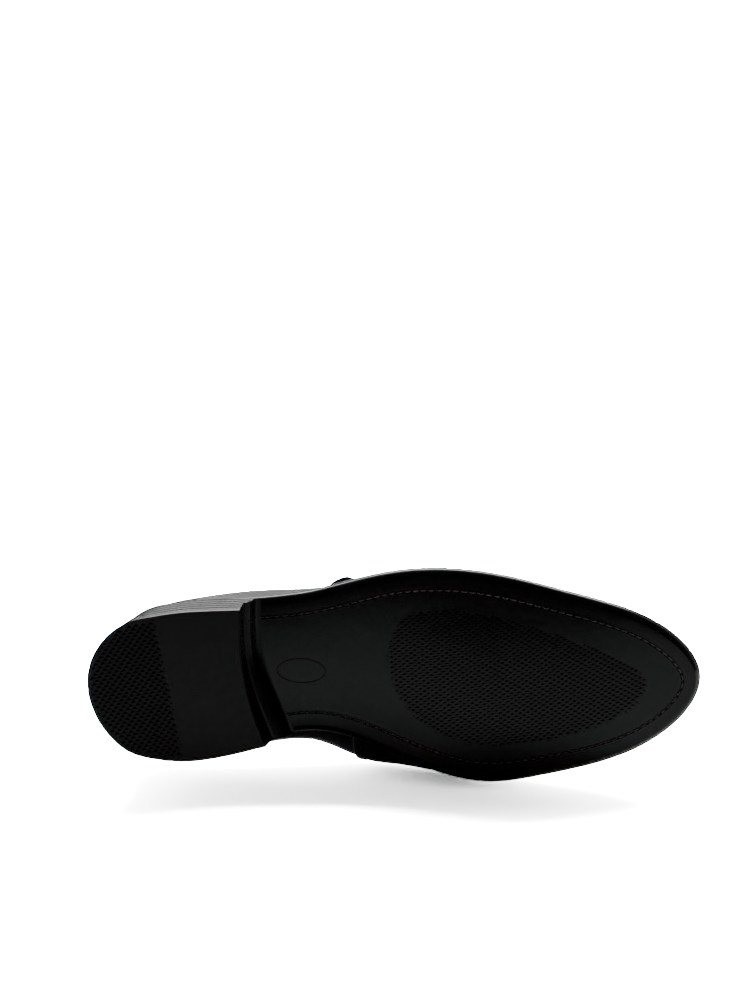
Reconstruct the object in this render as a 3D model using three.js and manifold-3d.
// A man's plain-toe lace-up patent dress shoe (right foot), standing on its heel and ball.
// Millimetres. X runs from the heel back to the toe, -Y is the outer side of the foot, Z is up.
import * as THREE from "three";
import { mergeVertices } from "three/addons/utils/BufferGeometryUtils.js";
import Module from "manifold-3d";

const wasm = await Module();
wasm.setup();

// ---- driving dimensions -------------------------------------------------------------------
const soleLength = 300; // outsole, heel back to toe tip
const ballWidth = 105; // outsole at the ball
const heelHeight = 25; // ground to the underside of the outsole at the heel
const heelLength = 0.2534 * soleLength; // top piece along its outer side
const breastSweep = 12.5; // how much further forward the breast stands at its inner end
const liftCount = 5; // heel lifts above the top piece
const outsoleThickness = 5;
const weltThickness = 3;
const toeSpring = 13; // ground to the underside of the outsole at the toe tip
const edgeBevel = 3.4; // how far the outsole's bottom edge is set in from the welt's outer edge
const heelTaper = 2; // how far the top piece is set in along its sides
const heelFlare = 2.3; // how far the top piece stands out behind the sole above it
const breastSlope = 5; // how far the breast leans forward on its way up, and twice that inside
const backHeight = 60.2; // featherline to the topline at the back
const toeHeight = 18.3; // featherline to the ridge at the toe's end
const throatGap = 7; // half the gap between the facings at the top eyelets
const weltMarginBack = 2.4; // welt showing outside the upper at the heel and waist
const weltMarginFront = 5.6; // and round the forefoot
const leather = 1.3;
const stiffener = 0.8;
const liningThickness = 0.8;
const insoleThickness = 2.4;
const insockThickness = 1;
const eyeletRows = 5;
const eyeletInset = 8.5; // eyelet centre to the facing's edge
const eyeletWall = 0.5;
const eyeletFlange = 3.1; // radius
const eyeletLip = 0.6; // height of the flange
const bindingRadius = 1.1;
const bindingEnd = 3.05; // where the binding stops on each side, on the outline's own scale
const backstayThickness = 0.8;
const backstayFoot = 0.42; // half widths of the backstay, on the outline's own scale
const backstayHead = 0.22;
const laceRadius = 1.2;
const eyeletBore = laceRadius + 0.4; // radius
const stitchInset = 10.4; // stitched groove from the welt's outer edge
const stitchRadius = 0.7;
const grooveDepth = 1; // height of the thread's middle above the sole's underside
const stitchStart = 2.27; // where the groove leaves the heel, on the outline's own scale
const gap = 0.3; // between pieces that touch
const featherGap = 0.5; // between the welt and the upper that stands on it

// ---- small helpers ------------------------------------------------------------------------
const group = new THREE.Group();
const V = (x, y, z) => new THREE.Vector3(x, y, z);
const clamp = (x, low = 0, high = 1) => Math.min(high, Math.max(low, x));
const mix = (a, b, k) => a + (b - a) * k;
const ease = (from, to, x) => {
  const k = clamp((x - from) / (to - from));
  return k * k * (3 - 2 * k);
};

// A smooth value at x through rows [x, value, value, ...].
function through(rows, x) {
  let i = 0;
  while (i < rows.length - 2 && x > rows[i + 1][0]) i += 1;
  const [a, b] = [rows[i], rows[i + 1]];
  const before = rows[i - 1] ?? a;
  const after = rows[i + 2] ?? b;
  const span = b[0] - a[0];
  const k = clamp((x - a[0]) / span);
  return a.slice(1).map((_, n) => {
    const c = n + 1;
    const slopeA = ((b[c] - before[c]) / (b[0] - before[0])) * span;
    const slopeB = ((after[c] - a[c]) / (after[0] - a[0])) * span;
    const [k2, k3] = [k * k, k * k * k];
    return (2 * k3 - 3 * k2 + 1) * a[c] + (k3 - 2 * k2 + k) * slopeA
      + (3 * k2 - 2 * k3) * b[c] + (k3 - k2) * slopeB;
  });
}

// ---- plan outline -------------------------------------------------------------------------
// Control points of a closed smooth curve, as shares of the sole's length and half its width.
// They start behind the heel, run along the outer side to the toe and back on the inner side.
const outlineShares = [
  [-0.022, 0.03], [0.054, -0.661], [0.235, -0.693], [0.363, -0.709],
  [0.497, -1.023], [0.647, -1.04], [0.774, -0.829], [0.933, -0.6],
  [1.049, 0.06], [0.929, 0.712], [0.77, 0.901], [0.638, 1.059],
  [0.488, 0.749], [0.374, 0.503], [0.221, 0.825], [0.064, 0.842],
];
const turns = outlineShares.length; // u runs from 0 at the heel back to 8 at the toe and on to 16
const toeU = turns / 2;

function groundLineAt(u) {
  const i = Math.floor(u);
  const f = u - i;
  const weights = [(1 - f) ** 3, 3 * f ** 3 - 6 * f ** 2 + 4, -3 * f ** 3 + 3 * f ** 2 + 3 * f + 1, f ** 3];
  const point = V(0, 0, 0);
  weights.forEach((w, k) => {
    const [along, across] = outlineShares[(((i + k - 1) % turns) + turns) % turns];
    point.x += (w / 6) * along * soleLength;
    point.y += (w / 6) * across * (ballWidth / 2);
  });
  return point;
}

// The direction in plan that points away from a line round the sole.
function acrossFrom(line, u) {
  const step = line(u + 0.01).sub(line(u - 0.01)).normalize();
  return V(step.y, -step.x, 0);
}

const wrapped = (u) => ((u % turns) + turns) % turns;
const isOuterSide = (u) => wrapped(u) < toeU;
const halfShare = (u) => (isOuterSide(u) ? wrapped(u) : turns - wrapped(u)) / toeU;

// The sole's outline. Behind the heel it lies inside the line that the heel makes on the ground.
function outlineAt(u) {
  const w = wrapped(u);
  const rear = isOuterSide(u) ? 1 - ease(0.8, 1.3, w) : 1 - ease(0, 1.4, turns - w);
  return groundLineAt(u).addScaledVector(acrossFrom(groundLineAt, u), -heelFlare * rear);
}

const outwardAt = (u) => acrossFrom(outlineAt, u);
const insetAt = (u, inset) => outlineAt(u).addScaledVector(outwardAt(u), -inset);
// The sole's edge leans in on its way up at the heel.
const edgeLean = (u, rise) => 0.22 * rise * (1 - ease(0.2, 0.36, halfShare(u)));

// A line down the middle of the sole that flat faces close on.
const spineStart = 0.13 * soleLength;
const spineEnd = 0.9 * soleLength;
const centreRows = [[0, 3], [0.4, -2], [0.633, -1.5], [1, 3]]; // share of the length, sideways
const centreY = (x) => through(centreRows, x / soleLength)[0];
function spineAt(u) {
  const x = mix(spineStart, spineEnd, ease(0, 1, halfShare(u)));
  return V(x, centreY(x), 0);
}

// ---- side profile -------------------------------------------------------------------------
const seatEnd = heelLength + breastSweep; // the seat is level back from here
const flatStart = 0.675 * soleLength; // the forefoot rests on the ground from here
const flatEnd = 0.76 * soleLength; // and the toe lifts from here
function underside(x) {
  const shank = heelHeight * (1 - ease(seatEnd, flatStart, x));
  const lift = Math.max(0, (x - flatEnd) / (soleLength - flatEnd));
  return shank + toeSpring * lift * lift;
}
const weltBottom = (x) => underside(x) + outsoleThickness + gap;
const weltTop = (x) => weltBottom(x) + weltThickness;
const feather = (x) => weltTop(x) + featherGap;
const weltMargin = (u) => mix(weltMarginBack, weltMarginFront, ease(0.3, 0.52, halfShare(u)));
const wall = leather + gap + stiffener + gap + liningThickness;

// ---- solids -------------------------------------------------------------------------------
const materials = {
  sole: { color: 0x191a1d, roughness: 0.35, metalness: 0 },
  heel: { color: 0x1b1c1f, roughness: 0.4, metalness: 0 },
  patent: { color: 0x0b0b0d, roughness: 0.08, metalness: 0 },
  lining: { color: 0x2a2624, roughness: 0.6, metalness: 0 },
  insole: { color: 0x6d5a43, roughness: 0.8, metalness: 0 },
  cork: { color: 0x8a6a45, roughness: 0.95, metalness: 0 },
  steel: { color: 0x8c8f94, roughness: 0.35, metalness: 1 },
  thread: { color: 0x2a2b2e, roughness: 0.7, metalness: 0 },
  lace: { color: 0x111113, roughness: 0.6, metalness: 0 },
  eyelet: { color: 0x121214, roughness: 0.3, metalness: 0.6 },
};

function add(name, geometry, material) {
  const mesh = new THREE.Mesh(geometry, new THREE.MeshStandardMaterial(materials[material]));
  mesh.name = name;
  group.add(mesh);
  return mesh;
}

// A closed geometry from four-cornered faces: corners in the same place are merged, and faces
// that meet back to back, as where a sheet closes on itself, are taken out in pairs.
function closed(points, quads) {
  const soup = new THREE.BufferGeometry();
  soup.setAttribute("position", new THREE.Float32BufferAttribute(points.flatMap((p) => [p.x, p.y, p.z]), 3));
  soup.setIndex(points.map((_, i) => i));
  const merged = mergeVertices(soup, 0.004);
  const corner = merged.index.array;
  const kept = new Map();
  for (const quad of quads) {
    const face = quad.map((i) => corner[i]).filter((c, i, all) => c !== all[(i + 1) % all.length]);
    if (new Set(face).size < 3 || new Set(face).size < face.length) continue;
    const key = [...face].sort((a, b) => a - b).join();
    if (kept.has(key)) kept.delete(key);
    else kept.set(key, face);
  }
  const index = [];
  for (const [a, b, c, d] of kept.values()) {
    index.push(a, b, c);
    if (d !== undefined) index.push(a, c, d);
  }
  if (volume(merged.attributes.position, index) < 0) index.reverse();
  merged.setIndex(index);
  return merged;
}

function volume(position, index) {
  const corner = (i) => new THREE.Vector3().fromBufferAttribute(position, index[i]);
  let total = 0;
  for (let i = 0; i < index.length; i += 3) total += corner(i).dot(corner(i + 1).cross(corner(i + 2)));
  return total / 6;
}

// Joins rows of equal length into faces. wrapRows and wrapPoints close the two directions.
function skin(rows, wrapRows, wrapPoints) {
  const across = rows[0].length;
  const quads = [];
  const at = (i, j) => (i % rows.length) * across + (j % across);
  for (let i = 0; i < rows.length - (wrapRows ? 0 : 1); i += 1) {
    for (let j = 0; j < across - (wrapPoints ? 0 : 1); j += 1) {
      quads.push([at(i, j), at(i, j + 1), at(i + 1, j + 1), at(i + 1, j)]);
    }
  }
  return closed(rows.flat(), quads);
}

// Rings round the outline at steps u, from the bottom's middle out and over to the top's middle.
// ring(u) gives the points of one section, [inset share or distance, height] turned into points.
const ringSteps = 56;
function sectioned(section, wrapSection = false) {
  const columns = [];
  for (let i = 0; i < ringSteps; i += 1) columns.push(section((i * turns) / ringSteps));
  const rows = columns[0].map((_, k) => columns.map((column) => column[k]));
  return skin(rows, wrapSection, true);
}

// A plate between two heights, cut to an inset of the outline, closing on the spine.
const shares = [0, 0.55];
function plate(bottom, top, insetBottom, insetTop) {
  return sectioned((u) => {
    const low = insetAt(u, insetBottom(u));
    const high = insetAt(u, insetTop(u));
    const spine = spineAt(u);
    const place = (p, height) => V(p.x, p.y, height(p.x));
    const under = shares.map((k) => place(spine.clone().lerp(low, k), bottom));
    const over = shares.map((k) => place(spine.clone().lerp(high, k), top));
    return [...under, place(low, bottom), place(high, top), ...over.reverse()];
  });
}

function toManifold(geometry) {
  const clean = geometry.clone();
  clean.deleteAttribute("normal");
  clean.deleteAttribute("uv");
  const merged = mergeVertices(clean, 0.001);
  return new wasm.Manifold(new wasm.Mesh({
    numProp: 3,
    vertProperties: new Float32Array(merged.attributes.position.array),
    triVerts: new Uint32Array(merged.index.array),
  }));
}

function fromManifold(solid) {
  const mesh = solid.getMesh();
  const geometry = new THREE.BufferGeometry();
  geometry.setAttribute("position", new THREE.Float32BufferAttribute(mesh.vertProperties, 3));
  geometry.setIndex([...mesh.triVerts]);
  return geometry;
}

// A route that a tube follows from point to point, with one ring of the tube at each point.
class Route extends THREE.Curve {
  constructor(points) {
    super();
    this.points = points;
  }

  getPoint(t, target = V(0, 0, 0)) {
    const at = clamp(t) * (this.points.length - 1);
    const i = Math.min(this.points.length - 2, Math.floor(at));
    return target.copy(this.points[i]).lerp(this.points[i + 1], at - i);
  }

  getUtoTmapping(u) {
    return u;
  }
}

function roundShape(radius, sides) {
  const shape = new THREE.Shape();
  for (let i = 0; i < sides; i += 1) {
    const angle = (i * 2 * Math.PI) / sides;
    const corner = [radius * Math.cos(angle), radius * Math.sin(angle)];
    if (i === 0) shape.moveTo(...corner);
    else shape.lineTo(...corner);
  }
  shape.closePath();
  return shape;
}

function tube(points, radius, sides = 8) {
  const extrudePath = new Route(points);
  const steps = points.length - 1;
  return new THREE.ExtrudeGeometry(roundShape(radius, sides), { steps, extrudePath, bevelEnabled: false });
}

// ---- sole unit ----------------------------------------------------------------------------
const outsoleTop = (x) => underside(x) + outsoleThickness;

function outsole() {
  const topInset = (u) => edgeLean(u, outsoleThickness);
  const geometry = plate(underside, outsoleTop, () => edgeBevel, topInset);
  const groove = toManifold(tube(stitchRoute(grooveDepth), stitchRadius + gap, 6));
  add("outsole", fromManifold(toManifold(geometry).subtract(groove)), "sole");
}

// The thread lies in a groove under the sole, from the breast round the toe and back.
function stitchRoute(height) {
  const points = [];
  for (let i = 0; i <= 36; i += 1) {
    const p = insetAt(mix(stitchStart, turns - stitchStart, i / 36), stitchInset);
    points.push(V(p.x, p.y, underside(p.x) + height));
  }
  return points;
}

function soleStitching() {
  add("sole_stitching", tube(stitchRoute(grooveDepth).slice(1, -1), stitchRadius, 6), "thread");
}

function welt() {
  add("welt", sectioned((u) => {
    const low = edgeLean(u, outsoleThickness + gap);
    const high = edgeLean(u, outsoleThickness + gap + weltThickness) + 0.2;
    const ring = [[low, weltBottom], [high, weltTop], [weltInner(u), weltTop], [weltInner(u), weltBottom]];
    return ring.map(([inset, height]) => {
      const p = insetAt(u, inset);
      return V(p.x, p.y, height(p.x));
    });
  }, true), "sole");
}

// Where the heel's breast is: hollow towards the inner side, with a lip under the sole.
function breastX(y, z) {
  const up = z / heelHeight;
  const share = clamp((y / ballWidth + 0.234) / 0.55, 0, 2);
  const slope = breastSlope * (1 + ease(-0.1, 0.27, y / ballWidth));
  return heelLength + breastSweep * share * share + slope * (0.3 * up + 0.7 * ease(0.7, 0.86, up));
}

// The heel's wall. On the ground it follows its own outline, and at the seat the sole's.
function heelSide(u, z) {
  const taper = mix(0.8, heelTaper, ease(0.11, 0.17, halfShare(u)));
  const foot = groundLineAt(u).addScaledVector(acrossFrom(groundLineAt, u), -taper);
  return foot.lerp(insetAt(u, 0.5), z / heelHeight);
}

// The heel is a stack of level slices of one leaning block.
const wallSamples = 34;
const breastSamples = 8;
function heelSlice(name, bottom, top, material) {
  const slice = (z) => {
    const reach = [0, 0]; // u where each side meets the breast
    for (let u = 1; u < 4; u += 0.01) {
      [u, turns - u].forEach((w, k) => {
        const p = heelSide(w, z);
        if (p.x < breastX(p.y, z)) reach[k] = u;
      });
    }
    const points = [];
    for (let i = 0; i <= wallSamples; i += 1) {
      points.push(heelSide(mix(-reach[1], reach[0], i / wallSamples), z));
    }
    const [inner, outer] = [points[0].y, points[wallSamples].y];
    for (let i = 1; i < breastSamples; i += 1) {
      const y = mix(outer, inner, i / breastSamples);
      points.push(V(breastX(y, z), y, 0));
    }
    return points.map((p) => V(p.x, p.y, Math.min(z, underside(p.x) - gap)));
  };
  const [low, high] = [slice(bottom), slice(top)];
  const middle = (z) => low.map(() => V(heelLength / 2, centreY(heelLength / 2), z));
  add(name, skin([middle(bottom), low, high, middle(top)], false, true), material);
}

function heel() {
  const layer = heelHeight / (liftCount + 1);
  heelSlice("heel_top_piece", 0, layer - gap, "heel");
  for (let i = 1; i <= liftCount; i += 1) {
    heelSlice(`heel_lift_${i}`, i * layer, (i + 1) * layer - gap, "heel");
  }
}

function insideTheSole() {
  const insoleBottom = feather;
  const insoleTop = (x) => insoleBottom(x) + insoleThickness;
  const insockBottom = (x) => insoleTop(x) + gap;
  const insockTop = (x) => insockBottom(x) + insockThickness;
  // both stand clear of the lining, also where it leans in over them
  const inside = (rise) => (u) => weltMargin(u) + wall + gap + rise * Math.max(0, -Math.sin(leanAt(u)) * 1.4);
  const insockRise = insoleThickness + gap + insockThickness;
  add("insole_board", plate(insoleBottom, insoleTop, inside(insoleThickness), inside(insoleThickness)), "insole");
  add("insock", plate(insockBottom, insockTop, inside(insockRise), inside(insockRise)), "lining");
  corkFiller();
  shank();
}

// The welt's inner edge leaves room for the cork in front and the shank behind.
const weltInner = (u) => weltMargin(u) + wall + 3;
const shankStart = 40;
const shankEnd = 146;
const shankWidth = 14;
const shankThickness = 1.4;
const corkStart = shankEnd + 4;

function corkFiller() {
  const toeEnd = 0.93 * soleLength;
  const side = (x, u0, u1) => {
    let [low, high] = [u0, u1];
    for (let i = 0; i < 30; i += 1) {
      const middle = (low + high) / 2;
      if (insetAt(middle, weltInner(middle) + gap).x < x) low = middle;
      else high = middle;
    }
    return insetAt(low, weltInner(low) + gap);
  };
  const rows = [];
  for (let i = 0; i <= 16; i += 1) {
    const x = mix(corkStart, toeEnd, i / 16);
    const [outer, inner] = [side(x, 2, toeU), side(x, turns - 2, toeU)];
    const [low, high] = [weltBottom(x) + gap, weltTop(x) - gap];
    rows.push([V(x, outer.y, low), V(x, inner.y, low), V(x, inner.y, high), V(x, outer.y, high)]);
  }
  const flat = rows.map((row) => [row[1], row[0]]);
  add("cork_filler", sheet(flat, rows.map((row) => [row[2], row[3]])), "cork");
}

function shank() {
  const layer = (height) => {
    const rows = [];
    for (let i = 0; i <= 14; i += 1) {
      const x = mix(shankStart, shankEnd, i / 14);
      const round = Math.sqrt(1 - (Math.abs(i - 7) / 7) ** 6 * 0.75);
      const half = (shankWidth / 2) * round;
      const z = weltBottom(x) + gap + height;
      rows.push([V(x, centreY(x) + half, z), V(x, centreY(x) - half, z)]);
    }
    return rows;
  };
  add("shank", sheet(layer(0), layer(shankThickness)), "steel");
}

// ---- the upper's surface ------------------------------------------------------------------
// Each side of the upper is a sheet from the featherline (t 0) up to the topline, the facing's
// edge or the middle of the vamp (t 1). Rows: share of the half outline, share of the sole's
// length, half width, share of the way up from the toe's ridge to the topline at the back, how
// far the sheet's top drops below level there in degrees. The first and last rows mirror their
// neighbours, so that the back and the toe are round.
const crown = [
  [-0.06, 0.048, -12.5, 0.983, 76],
  [0, 0.03, 0, 1, 76],
  [0.06, 0.048, 12.5, 0.983, 76],
  [0.13, 0.1, 22.5, 0.898, 74],
  [0.25, 0.22, 29.5, 0.746, 72],
  [0.34, 0.313, 28.5, 0.847, 66],
  [0.4, 0.368, 23.5, 0.983, 52],
  [0.45, 0.408, 14, 1.076, 32],
  [0.495, 0.443, throatGap + 1, 1.042, 19],
  [0.54, 0.483, throatGap - 0.5, 0.949, 13],
  [0.6, 0.543, throatGap * 0.6, 0.797, 9],
  [0.665, 0.613, 0, 0.602, 0],
  [0.75, 0.707, 0, 0.39, 0],
  [0.86, 0.833, 0, 0.195, 0],
  [0.95, 0.91, 0, 0.093, 0],
  [1, 0.947, 0, 0, 0],
  [1.05, 0.91, 0, 0.093, 0],
];
const throatShare = 0.665; // the two sides meet from here to the toe

// How far each side leans out over its featherline: share of the half outline, degrees. The outer
// side leans in along the waist, and the inner side's arch bulges well past the narrow waist.
const leanOuter = [
  [0, 8], [0.07, 2], [0.13, -9], [0.25, -7], [0.44, -11], [0.5, -9.5],
  [0.55, -6], [0.6, 1], [0.66, 7], [0.75, 14], [1, 17],
];
const leanInner = [
  [0, 4], [0.08, 8], [0.16, 16], [0.22, 36], [0.28, 60], [0.46, 58],
  [0.52, 46], [0.6, 34], [0.68, 26], [0.78, 17], [1, 17],
];

const leanAt = (u) => {
  const rows = isOuterSide(u) ? leanOuter : leanInner;
  return THREE.MathUtils.degToRad(through(rows, halfShare(u))[0]);
};

const toeRidge = feather(crown.at(-2)[1] * soleLength) + toeHeight;
const upperFall = feather(0) + backHeight - toeRidge;
const crownAt = (v) => {
  const [along, half, share, drop] = through(crown, v);
  const z = toeRidge + upperFall * share;
  return { x: along * soleLength, half: v >= throatShare ? 0 : Math.max(0, half), z, drop };
};

function featherAt(u) {
  const p = insetAt(u, weltMargin(u));
  p.z = feather(p.x);
  return p;
}

function skinFrame(u) {
  const v = halfShare(u);
  const side = isOuterSide(u) ? -1 : 1;
  const foot = featherAt(u);
  const top = crownAt(v);
  const head = V(top.x, centreY(top.x) + side * top.half, top.z);
  const out = outwardAt(u);
  const ahead = crownAt(Math.min(1, v + 0.01));
  const behind = crownAt(Math.max(0, v - 0.01));
  const slope = Math.atan2(behind.z - ahead.z, ahead.x - behind.x) * ease(0.44, 0.56, v);
  const along = V(Math.cos(slope), 0, -Math.sin(slope));
  const level = V(0, out.y, 0).addScaledVector(along, out.x).normalize();
  const drop = THREE.MathUtils.degToRad(top.drop);
  const down = level.multiplyScalar(Math.cos(drop)).add(V(0, 0, -Math.sin(drop)));
  const lean = leanAt(u);
  const up = V(0, 0, Math.cos(lean)).addScaledVector(out, Math.sin(lean));
  const rise = head.z - foot.z;
  const reach = head.distanceTo(foot);
  return [
    foot,
    foot.clone().addScaledVector(up, rise * mix(0.45, 0.64, ease(0.3, 0.52, v))),
    head.clone().addScaledVector(down, reach * mix(0.33, 0.48, ease(0.34, 0.56, v))),
    head,
  ];
}

function skinPoint(u, t) {
  const [a, b, c, d] = skinFrame(u);
  const s = 1 - t;
  return a.multiplyScalar(s * s * s).addScaledVector(b, 3 * s * s * t)
    .addScaledVector(c, 3 * s * t * t).addScaledVector(d, t * t * t);
}

function skinNormal(u, t) {
  const v = halfShare(u);
  if (t > 0.995 && v >= throatShare) {
    const w = Math.min(v, 0.985);
    const ahead = crownAt(w + 0.01);
    const behind = crownAt(w - 0.01);
    return V(behind.z - ahead.z, 0, ahead.x - behind.x).normalize();
  }
  const at = clamp(t, 0.02, 0.97);
  const alongU = skinPoint(u + 0.08, at).sub(skinPoint(u - 0.08, at));
  const alongT = skinPoint(u, at + 0.02).sub(skinPoint(u, at - 0.02));
  return alongU.cross(alongT).normalize();
}

function offsetPoint(u, t, depth) {
  const p = skinPoint(u, t).addScaledVector(skinNormal(u, t), -depth);
  if (t === 0) p.z = feather(p.x);
  return p;
}

// A closed solid between two grids of the same size.
function sheet(outer, inner) {
  const rows = outer.map((row, i) => [...row, ...inner[i].slice().reverse()]);
  const width = rows[0].length;
  const end = (rows.length - 1) * width;
  const quads = [];
  for (let i = 0; i < end; i += width) {
    for (let j = 0; j < width; j += 1) {
      const next = (j + 1) % width;
      const quad = [i + j, i + next, i + width + next, i + width + j];
      // both grids are split along the same diagonal, so that nested sheets stay apart
      if (j >= width / 2) quad.push(quad.shift());
      quads.push(quad);
    }
  }
  for (let j = 0; j < width / 2 - 1; j += 1) {
    const [a, b, c, d] = [j, j + 1, width - 2 - j, width - 1 - j];
    quads.push([a, d, c, b], [end + a, end + b, end + c, end + d]);
  }
  return closed(rows.flat(), quads);
}

// ---- the upper's pieces -------------------------------------------------------------------
// The seam between quarter and vamp runs from the throat back down to the featherline.
const seamAt = (t) => mix(0.46, throatShare, t ** 1.3);
const seamGap = 0.003;
const quarterGrid = [20, 6];
const vampGrid = [14, 14];
const outerLayer = [0, leather];
const stiffenerLayer = [leather + gap, leather + gap + stiffener];
const liningLayer = [wall - liningThickness, wall];

// [u, t] of a point on the quarter, i from 0 at the heel to 1 at the vamp seam.
function onQuarter(side, i, t) {
  const v = mix(seamGap, seamAt(t) - seamGap, i);
  return [side < 0 ? v * toeU : turns - v * toeU, t];
}

// [u, t] on the vamp, i from the seam to the toe and j from the outer side over to the inner.
function onVamp(i, j) {
  const t = 1 - Math.abs(1 - 2 * j);
  const v = mix(seamAt(t) + seamGap, 1, i);
  return [j <= 0.5 ? v * toeU : turns - v * toeU, t];
}

function quarterPiece(side, layer) {
  const [across, up] = quarterGrid;
  // both sides run the same way round the shoe, as the heel counter's grid does
  const place = (i, j) => onQuarter(side, side < 0 ? 1 - i : i, j);
  const grid = (depth) => gridOf((i, j) => offsetPoint(...place(i, j), depth), across, up);
  return sheet(grid(layer[0]), grid(layer[1]));
}

function vampPiece(layer, start, rows) {
  const place = (i, j) => onVamp(mix(start, 1, i), j);
  const grid = (depth) => gridOf((i, j) => offsetPoint(...place(i, j), depth), rows, vampGrid[1]);
  return sheet(grid(layer[1]), grid(layer[0]));
}

function gridOf(place, across, up) {
  const rows = [];
  for (let i = 0; i <= across; i += 1) {
    const row = [];
    for (let j = 0; j <= up; j += 1) row.push(place(i / across, j / up));
    rows.push(row);
  }
  return rows;
}

// A U-shaped piece round the back of the heel, on the quarters' own grid lines.
function heelPiece(layer, columns, lowest, highest) {
  const grid = (depth) => {
    const rows = [];
    for (let k = -columns - 1; k <= columns; k += 1) {
      const [side, column] = k < 0 ? [-1, -1 - k] : [1, k];
      const row = [];
      for (let j = lowest; j <= highest; j += 1) {
        const place = onQuarter(side, column / quarterGrid[0], j / quarterGrid[1]);
        row.push(offsetPoint(...place, depth));
      }
      rows.push(row);
    }
    return rows;
  };
  return sheet(grid(layer[0]), grid(layer[1]));
}

function backstay() {
  const layer = [-gap - backstayThickness, -gap];
  const place = (i, j) => {
    const half = mix(backstayFoot, backstayHead, j);
    return [mix(-half, half, i), mix(0.01, 0.97, j)];
  };
  const grid = (depth) => gridOf((i, j) => offsetPoint(...place(i, j), depth), 6, 10);
  add("backstay", sheet(grid(layer[1]), grid(layer[0])), "patent");
}

function toplineBinding() {
  const points = [];
  for (let i = 0; i <= 36; i += 1) {
    const u = mix(bindingEnd, -bindingEnd, i / 36);
    const edge = skinPoint(u, 1);
    const up = edge.clone().sub(skinPoint(u, 0.95)).normalize();
    points.push(edge.addScaledVector(up, gap + bindingRadius).addScaledVector(skinNormal(u, 1), -wall / 2));
  }
  add("topline_binding", tube(points, bindingRadius), "patent");
}

// ---- eyelets ------------------------------------------------------------------------------
const firstEyelet = 0.492; // share of the half outline, top pair
const lastEyelet = 0.628;

// Frames of the eyelets: row 0 is the top pair. n points out of the leather, inward to the throat.
function eyeletFrame(side, row) {
  const v = mix(firstEyelet, lastEyelet, row / (eyeletRows - 1));
  const u = side < 0 ? v * toeU : turns - v * toeU;
  const edge = skinPoint(u, 1);
  let [low, high] = [0.5, 1];
  for (let i = 0; i < 30; i += 1) {
    const middle = (low + high) / 2;
    if (skinPoint(u, middle).distanceTo(edge) > eyeletInset) low = middle;
    else high = middle;
  }
  const centre = skinPoint(u, low);
  const n = skinNormal(u, low);
  const inward = edge.clone().sub(centre).projectOnPlane(n).normalize();
  return { centre, n, inward, edge, side };
}

const eyeletFrames = [-1, 1].map((side) => {
  const frames = [];
  for (let row = 0; row < eyeletRows; row += 1) frames.push(eyeletFrame(side, row));
  return frames;
});

function eyelet(name, frame) {
  const [bore, outer] = [eyeletBore, eyeletBore + eyeletWall];
  const [top, under, foot] = [gap + eyeletLip, gap, -wall - 0.4];
  const profile = [[bore, foot], [outer, foot], [outer, under], [eyeletFlange, under],
    [eyeletFlange - 0.3, top], [bore + 0.2, top], [bore, under], [bore, foot]];
  const geometry = new THREE.LatheGeometry(profile.map(([x, y]) => new THREE.Vector2(x, y)), 10);
  const mesh = add(name, geometry, "eyelet");
  mesh.quaternion.setFromUnitVectors(V(0, 1, 0), frame.n);
  mesh.position.copy(frame.centre);
}

function withEyeletHoles(geometry, frames) {
  let solid = toManifold(geometry);
  for (const { centre, n } of frames) {
    const radius = eyeletBore + eyeletWall + gap;
    const drill = new THREE.CylinderGeometry(radius, radius, 14, 10);
    drill.applyQuaternion(new THREE.Quaternion().setFromUnitVectors(V(0, 1, 0), n));
    drill.translate(centre.x, centre.y, centre.z);
    solid = solid.subtract(toManifold(drill));
  }
  return fromManifold(solid);
}

// ---- tongue -------------------------------------------------------------------------------
const tongueDepth = wall + gap + 2 * laceRadius + 4 * gap; // room for the lace above it
const tongueThickness = 1.6;
const tongueRise = 23; // how far the tongue runs on past the top eyelets
const tongueSides = [0.73, 0.79, 0.85, 0.92]; // t of the points across each side

function tongue() {
  const [rootShare, tipShare] = [0.69, 0.49];
  const row = (v, depth) => {
    const outer = tongueSides.map((t) => offsetPoint(v * toeU, t, depth));
    const inner = tongueSides.map((t) => offsetPoint(turns - v * toeU, t, depth));
    return [...outer, ...inner.reverse()];
  };
  const layer = (depth) => {
    const rows = [];
    for (let i = 0; i <= 10; i += 1) rows.push(row(mix(rootShare, tipShare, i / 10), depth));
    const last = rows[10];
    for (let i = 1; i <= 4; i += 1) {
      const run = (tongueRise * i) / 4;
      const narrow = 1 - 0.36 * (i / 4);
      rows.push(last.map((p) => V(p.x - 0.9 * run, centreY(p.x) + (p.y - centreY(p.x)) * narrow, p.z + 0.42 * run)));
    }
    return rows;
  };
  add("tongue", sheet(layer(tongueDepth), layer(tongueDepth + tongueThickness)), "lining");
}

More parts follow.
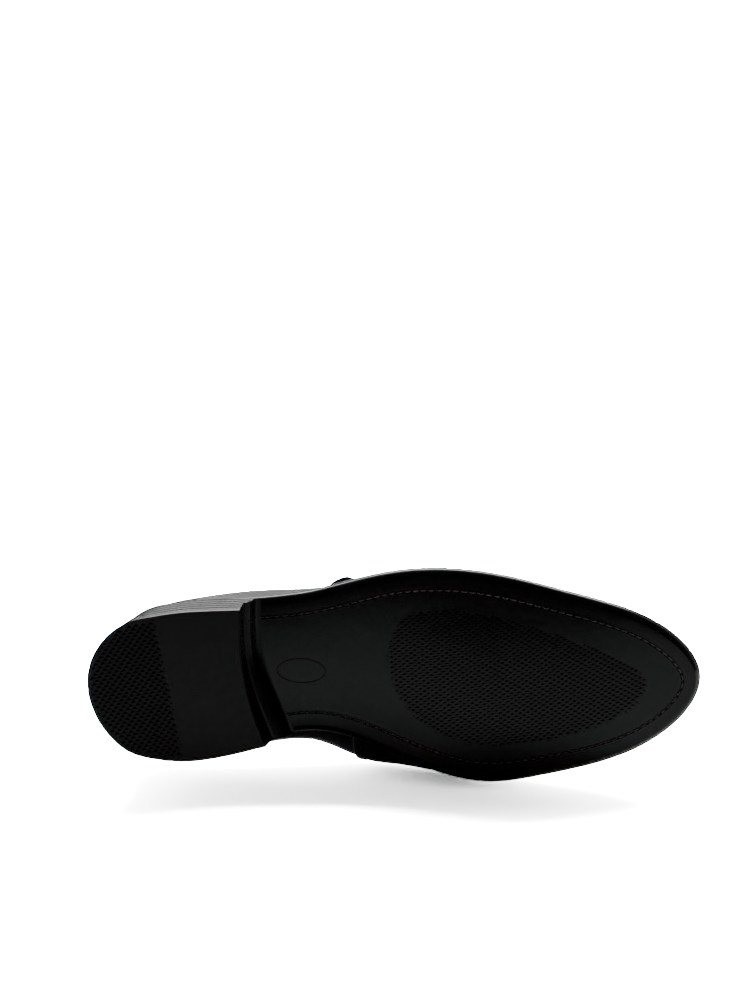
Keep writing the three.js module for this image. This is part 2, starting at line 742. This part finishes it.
// ---- lace ---------------------------------------------------------------------------------
// The lace bars straight over rows 1 to 4, runs back diagonally beneath, and its other end
// comes up beneath the outer side from the bottom row to the top pair.
function lacedPart() {
  const over = gap + eyeletLip + gap + laceRadius;
  const below = wall + gap + laceRadius;
  const [outer, inner] = eyeletFrames;
  const at = (frame, toThroat, height) => frame.centre.clone()
    .addScaledVector(frame.inward, toThroat).addScaledVector(frame.n, height);
  const upThrough = (frame) => [at(frame, 2, -below - 0.6), at(frame, 0.4, -below + 0.4), at(frame, 0, -wall / 2),
    at(frame, 0, gap + 0.2), at(frame, 0.7, over - 0.2), at(frame, 2.8, over + 0.2)];
  const downThrough = (frame) => upThrough(frame).reverse();
  const overEdge = (frame) => frame.edge.clone().add(V(0, 0, over - 0.2)).addScaledVector(frame.inward, 0.5);
  const underEdges = (a, b) => {
    const middle = a.edge.clone().add(b.edge).multiplyScalar(0.5);
    return middle.add(V(0, 0, -below - 0.4));
  };
  const points = [];
  const end = knotCentre().add(V(0, -knotSize[1] / 2 - gap, 0));
  points.push(end, end.clone().add(V(0, -1.8, -0.6)), overEdge(outer[0]), ...downThrough(outer[0]));
  for (let row = 1; row < eyeletRows; row += 1) {
    points.push(underEdges(outer[row - 1], inner[row]));
    points.push(...upThrough(inner[row]), overEdge(inner[row]), overEdge(outer[row]));
    points.push(...downThrough(outer[row]));
  }
  const bottom = outer[eyeletRows - 1];
  points.push(at(bottom, -3.5, -below - 0.8));
  for (let row = eyeletRows - 2; row > 0; row -= 1) points.push(at(outer[row], -6, -below - 0.8));
  // it crosses to the inner side above the strand that left the top pair
  const underEdge = (frame) => frame.edge.clone().addScaledVector(frame.n, -below - 0.9);
  const crossing = underEdges(outer[0], inner[1]).add(V(0, 0, 2 * laceRadius + gap));
  points.push(at(outer[1], -2, -below - 1).lerp(at(outer[0], -2, -below - 1), 0.35));
  points.push(underEdge(outer[1]).lerp(underEdge(outer[0]), 0.45), crossing);
  points.push(underEdge(inner[0]).lerp(underEdge(inner[1]), 0.3));
  const finish = knotCentre().add(V(0, knotSize[1] / 2 + gap, 0));
  points.push(...upThrough(inner[0]), overEdge(inner[0]), finish.clone().add(V(0, 1.8, -0.6)), finish);
  add("lace_laced_part", tube(points, laceRadius, 6), "lace");
}

const knotSize = [10, 11, 6.5];
function knotCentre() {
  const [a, b] = [eyeletFrames[0][0].edge, eyeletFrames[1][0].edge];
  return a.clone().add(b).multiplyScalar(0.5).add(V(0, 0, knotSize[2] / 2 + 0.6));
}

function laceKnot() {
  const geometry = new THREE.SphereGeometry(0.5, 14, 10);
  geometry.scale(...knotSize);
  const mesh = add("lace_knot", geometry, "lace");
  mesh.position.copy(knotCentre());
}

// The bow's loops and free ends: chosen points, measured from the middle of the knot. They come
// out of the knot and lie on the quarters, clear of the bars and eyelets beneath them. They were
// chosen for one sole length, one fall of the upper from heel to toe and one lace: a longer or
// higher shoe stretches them, and a thicker lace lifts them.
const bowSole = 300;
const bowFall = 59;
const bowLace = 1.2;
const bow = {
  lace_loop_outer: [
    [4.5, -4.5, 1], [5.5, -8.5, 1], [4, -16, -3.5], [2, -22.5, -7.5], [0, -28.8, -11.5],
    [-1.5, -33, -16], [-3.5, -34.8, -19.5], [-6, -35.3, -21], [-9, -34.3, -20.5],
    [-12, -32.2, -17], [-13, -30, -12], [-11, -24.5, -6.5], [-7.5, -19, -2],
    [-6, -8.5, 1.5], [-5, -5, 1],
  ],
  lace_loop_inner: [
    [4.5, 4.5, 1], [5.5, 8.5, 1], [3, 16, -3.5], [0, 22, -7], [-3, 29.5, -12],
    [-4.5, 36, -17], [-6.5, 39.5, -21.5], [-8.5, 41, -23.5], [-11, 40, -22.5],
    [-13, 36.5, -18.5], [-13, 31.5, -13], [-11, 25, -7], [-7.5, 19, -2], [-6, 8.5, 1.5],
    [-5, 5, 1],
  ],
  lace_end_outer: [
    [6, -2, -0.5], [8.5, -3.5, 0], [12.5, -13.5, -6.5], [12.5, -20.5, -9.5],
    [14.5, -26, -13.5], [20.5, -31.5, -18.5], [29.5, -34.5, -24], [38.5, -35.5, -29],
    [48, -35, -33.5],
  ],
  lace_end_inner: [
    [6, 2, -0.5], [8.5, 3.5, 0], [11, 13, -6], [10, 20, -8.5], [10.5, 25, -12],
    [16, 31, -17], [24, 34.5, -22], [34, 36, -27], [44, 36.5, -31.5],
  ],
};

const agletLength = 16;
const agletRadius = 1.5;

function bowCords() {
  for (const [name, places] of Object.entries(bow)) {
    const points = places.map(([x, y, z]) => {
      const lift = 3 * (laceRadius - bowLace);
      return V((x * soleLength) / bowSole, y, (z * upperFall) / bowFall + lift).add(knotCentre());
    });
    const curve = new THREE.CatmullRomCurve3(points, false, "centripetal");
    add(name, tube(curve.getSpacedPoints(name.includes("loop") ? 18 : 12), laceRadius), "lace");
    if (name.includes("end")) {
      const direction = curve.getTangent(1);
      const aglet = new THREE.CylinderGeometry(agletRadius * 0.8, agletRadius, agletLength, 10);
      const mesh = add(name.replace("lace_end", "aglet"), aglet, "eyelet");
      mesh.quaternion.setFromUnitVectors(V(0, 1, 0), direction);
      mesh.position.copy(curve.getPoint(1).addScaledVector(direction, gap + agletLength / 2));
    }
  }
}

outsole();
soleStitching();
welt();
heel();
insideTheSole();
add("quarter_outer", withEyeletHoles(quarterPiece(-1, outerLayer), eyeletFrames[0]), "patent");
add("quarter_inner", withEyeletHoles(quarterPiece(1, outerLayer), eyeletFrames[1]), "patent");
add("vamp", vampPiece(outerLayer, 0, vampGrid[0]), "patent");
add("quarter_lining_outer", withEyeletHoles(quarterPiece(-1, liningLayer), eyeletFrames[0]), "lining");
add("quarter_lining_inner", withEyeletHoles(quarterPiece(1, liningLayer), eyeletFrames[1]), "lining");
add("vamp_lining", vampPiece(liningLayer, 0, vampGrid[0]), "lining");
add("heel_counter", heelPiece(stiffenerLayer, 10, 0, 3), "insole");
add("toe_puff", vampPiece(stiffenerLayer, 8 / vampGrid[0], vampGrid[0] - 8), "insole");
backstay();
toplineBinding();
tongue();
eyeletFrames.forEach((frames, s) => frames.forEach((frame, row) => {
  eyelet(`eyelet_${s === 0 ? "outer" : "inner"}_${row + 1}`, frame);
}));
laceKnot();
lacedPart();
bowCords();

const box = new THREE.Box3().setFromObject(group);
group.position.set(-(box.min.x + box.max.x) / 2, -(box.min.y + box.max.y) / 2, -box.min.z);
export default group;
